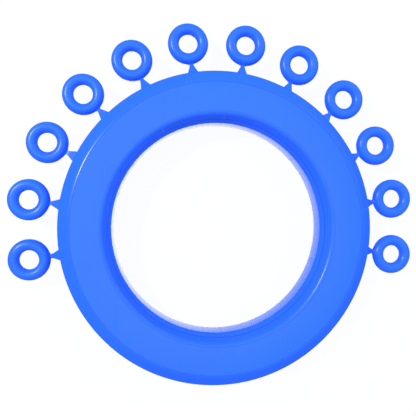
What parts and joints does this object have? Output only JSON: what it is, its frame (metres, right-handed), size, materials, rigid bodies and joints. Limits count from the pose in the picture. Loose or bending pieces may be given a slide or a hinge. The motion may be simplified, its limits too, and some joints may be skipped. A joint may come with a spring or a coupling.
{
  "type": "knitting loom",
  "caption": "Flat round knitting loom: a thick hollow hoop with a wide opening and soft eyelet pegs that stand out around part of its rim.",
  "frame": {"origin": "under the middle of the outline, on the surface that the hoop lies on", "axes": "+Z along the hoop's axis, away from the surface that it lies on; +Y towards the middle of the row of pegs"},
  "size_m": [0.1848, 0.1624, 0.0196],
  "materials": {
    "hoop_plastic": "high-gloss moulded plastic",
    "peg_rubber": "glossy soft elastomer"
  },
  "bodies": {
    "hoop": {"front_shell": "hoop_plastic", "back_shell": "hoop_plastic", "peg_root_01": "peg_rubber", "peg_root_02": "peg_rubber", "peg_root_03": "peg_rubber", "peg_root_04": "peg_rubber", "peg_root_05": "peg_rubber", "peg_root_06": "peg_rubber", "peg_root_07": "peg_rubber", "peg_root_08": "peg_rubber", "peg_root_09": "peg_rubber", "peg_root_10": "peg_rubber", "peg_root_11": "peg_rubber", "peg_root_12": "peg_rubber"},
    "eyelet_01": {"peg_eyelet_01": "peg_rubber"},
    "eyelet_02": {"peg_eyelet_02": "peg_rubber"},
    "eyelet_03": {"peg_eyelet_03": "peg_rubber"},
    "eyelet_04": {"peg_eyelet_04": "peg_rubber"},
    "eyelet_05": {"peg_eyelet_05": "peg_rubber"},
    "eyelet_06": {"peg_eyelet_06": "peg_rubber"},
    "eyelet_07": {"peg_eyelet_07": "peg_rubber"},
    "eyelet_08": {"peg_eyelet_08": "peg_rubber"},
    "eyelet_09": {"peg_eyelet_09": "peg_rubber"},
    "eyelet_10": {"peg_eyelet_10": "peg_rubber"},
    "eyelet_11": {"peg_eyelet_11": "peg_rubber"},
    "eyelet_12": {"peg_eyelet_12": "peg_rubber"}
  },
  "joints": [
    {"name": "eyelet_01_bend", "type": "hinge", "parent": "hoop", "child": "eyelet_01", "pos_m": [0.07408, -0.02291, 0.0098], "axis": [-0.1564, -0.9877, 0], "range_deg": [-70, 70], "stiffness_Nm_per_rad": 0.004},
    {"name": "eyelet_02_bend", "type": "hinge", "parent": "hoop", "child": "eyelet_02", "pos_m": [0.07408, 0.00055, 0.0098], "axis": [0.1564, -0.9877, 0], "range_deg": [-70, 70], "stiffness_Nm_per_rad": 0.004},
    {"name": "eyelet_03_bend", "type": "hinge", "parent": "hoop", "child": "eyelet_03", "pos_m": [0.06682, 0.02287, 0.0098], "axis": [0.454, -0.891, 0], "range_deg": [-70, 70], "stiffness_Nm_per_rad": 0.004},
    {"name": "eyelet_04_bend", "type": "hinge", "parent": "hoop", "child": "eyelet_04", "pos_m": [0.05303, 0.04185, 0.0098], "axis": [0.7071, -0.7071, 0], "range_deg": [-70, 70], "stiffness_Nm_per_rad": 0.004},
    {"name": "eyelet_05_bend", "type": "hinge", "parent": "hoop", "child": "eyelet_05", "pos_m": [0.03405, 0.05564, 0.0098], "axis": [0.891, -0.454, 0], "range_deg": [-70, 70], "stiffness_Nm_per_rad": 0.004},
    {"name": "eyelet_06_bend", "type": "hinge", "parent": "hoop", "child": "eyelet_06", "pos_m": [0.01173, 0.0629, 0.0098], "axis": [0.9877, -0.1564, 0], "range_deg": [-70, 70], "stiffness_Nm_per_rad": 0.004},
    {"name": "eyelet_07_bend", "type": "hinge", "parent": "hoop", "child": "eyelet_07", "pos_m": [-0.01173, 0.0629, 0.0098], "axis": [0.9877, 0.1564, 0], "range_deg": [-70, 70], "stiffness_Nm_per_rad": 0.004},
    {"name": "eyelet_08_bend", "type": "hinge", "parent": "hoop", "child": "eyelet_08", "pos_m": [-0.03405, 0.05564, 0.0098], "axis": [0.891, 0.454, 0], "range_deg": [-70, 70], "stiffness_Nm_per_rad": 0.004},
    {"name": "eyelet_09_bend", "type": "hinge", "parent": "hoop", "child": "eyelet_09", "pos_m": [-0.05303, 0.04185, 0.0098], "axis": [0.7071, 0.7071, 0], "range_deg": [-70, 70], "stiffness_Nm_per_rad": 0.004},
    {"name": "eyelet_10_bend", "type": "hinge", "parent": "hoop", "child": "eyelet_10", "pos_m": [-0.06682, 0.02287, 0.0098], "axis": [0.454, 0.891, 0], "range_deg": [-70, 70], "stiffness_Nm_per_rad": 0.004},
    {"name": "eyelet_11_bend", "type": "hinge", "parent": "hoop", "child": "eyelet_11", "pos_m": [-0.07408, 0.00055, 0.0098], "axis": [0.1564, 0.9877, 0], "range_deg": [-70, 70], "stiffness_Nm_per_rad": 0.004},
    {"name": "eyelet_12_bend", "type": "hinge", "parent": "hoop", "child": "eyelet_12", "pos_m": [-0.07408, -0.02291, 0.0098], "axis": [-0.1564, 0.9877, 0], "range_deg": [-70, 70], "stiffness_Nm_per_rad": 0.004}
  ]
}
